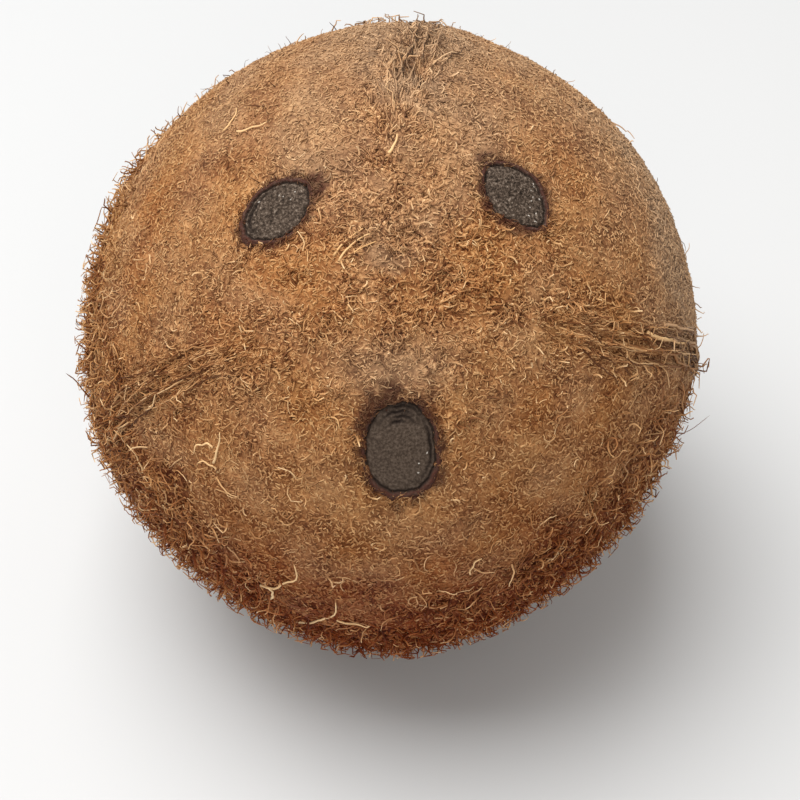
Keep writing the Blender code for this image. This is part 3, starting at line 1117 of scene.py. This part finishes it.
# %% Stray hairs, each a bent tube with a pointed tip
# Root and tip as azimuth and polar angle, then bow, lift at the tip and thickness in mm, then tone.
STRAYS = (
    ((134.6, 42.0), (128.0, 44.0), 0.8, 0.5, 0.40, 0.85),
    ((132.4, 39.0), (125.0, 35.0), 0.6, 0.6, 0.45, 0.90),
    ((222.8, 41.0), (219.0, 35.0), 0.3, 1.0, 0.45, 0.92),
    ((220.2, 39.0), (218.0, 42.5), 1.2, 0.8, 0.42, 0.90),
    ((225.0, 42.0), (220.0, 43.5), 1.0, 0.6, 0.42, 0.85),
    ((244.0, 62.8), (249.8, 49.3), 2.2, 1.2, 0.48, 0.90),
    ((252.3, 74.0), (259.4, 56.0), 1.6, 1.5, 0.50, 0.95),
    ((246.6, 66.4), (246.0, 58.8), 0.6, 1.5, 0.60, 1.00),
    ((195.0, 79.0), (187.0, 83.0), 0.4, 4.5, 0.42, 0.12),
    ((336.5, 82.0), (345.0, 84.0), 1.8, 5.5, 0.20, 0.20),
    ((91.0, 20.0), (87.5, 23.5), 0.3, 0.5, 0.60, 0.88),
    ((155.0, 9.2), (114.0, 8.8), 0.1, 0.2, 0.40, 0.80),
    ((158.0, 8.2), (111.0, 7.4), -0.1, 0.3, 0.42, 0.86),
    ((150.0, 7.2), (108.0, 6.2), 0.2, 0.2, 0.36, 0.78),
    ((212.6, 60.0), (206.7, 57.0), 0.8, 1.0, 0.40, 0.90),
    ((259.6, 65.5), (266.0, 62.5), 1.2, 1.4, 0.45, 0.90),
    ((286.0, 52.0), (289.0, 47.5), -0.6, 1.0, 0.40, 0.90),
    ((353.0, 46.0), (355.0, 63.0), 0.8, 0.5, 0.80, 0.85),
)
HAIR_POINTS = 12
HAIR_SIDES = 5
HAIR_THINNING = 0.6
outer = casting_surface(husk.data)


def laid_hair(root, tip, bow, lift, thickness):
    """Points from root to tip over the felt, bowed sideways and lifted towards the tip."""
    points = []
    for t in np.linspace(0, 1, HAIR_POINTS):
        at, down = (radians(a + (b - a) * t) for a, b in zip(root, tip))
        heading = direction(down, at)
        hit = cast(outer, heading)[0]
        points.append(hit + heading * (thickness * 0.4 + lift * t**1.6) * MM)
    along = (points[-1] - points[0]).normalized()
    aside = along.cross(points[0] - MIDDLE).normalized()
    return [
        p + aside * bow * MM * (sin(pi * t) + 0.25 * sin(3.3 * pi * t))
        for p, t in zip(points, np.linspace(0, 1, HAIR_POINTS))
    ]


print("stray hairs:", len(STRAYS))

# %% The strays as one mesh
shape = bmesh.new()
tone_layer = shape.verts.layers.float.new("tone")
for root, tip, bow, lift, thickness, tone in STRAYS:
    points = laid_hair(root, tip, bow, lift, thickness)
    rounds = []
    for i, point in enumerate(points[:-1]):
        ahead = (points[i + 1] - points[max(i - 1, 0)]).normalized()
        upward = (point - MIDDLE).normalized()
        aside = ahead.cross(upward).normalized()
        upward = aside.cross(ahead)
        girth = thickness / 2 * MM * (1 - HAIR_THINNING * i / HAIR_POINTS)
        angles = [tau * k / HAIR_SIDES for k in range(HAIR_SIDES)]
        rounds.append([
            shape.verts.new(point + (aside * cos(a) + upward * sin(a)) * girth) for a in angles
        ])
    ends = [shape.verts.new(points[0]), shape.verts.new(points[-1])]
    for k in range(HAIR_SIDES):
        following = (k + 1) % HAIR_SIDES
        shape.faces.new((ends[0], rounds[0][following], rounds[0][k]))
        shape.faces.new((ends[1], rounds[-1][k], rounds[-1][following]))
        for here, there in zip(rounds, rounds[1:]):
            shape.faces.new((here[k], here[following], there[following], there[k]))
    for corner in ends + sum(rounds, []):
        corner[tone_layer] = tone
strays = closed_piece(shape, "stray_hairs", FIBRE)
print("stray_hairs has", len(strays.data.polygons), "faces")

# %% [markdown]
# ## Handing over
#
# The nut is one grown thing, so every piece belongs to its one body. The skin takes the place of
# the solid nut.

# %% Hand the pieces to the frame
for piece in [husk, *plugs, *coats, strays]:
    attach(piece, BODY)
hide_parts(NODE)
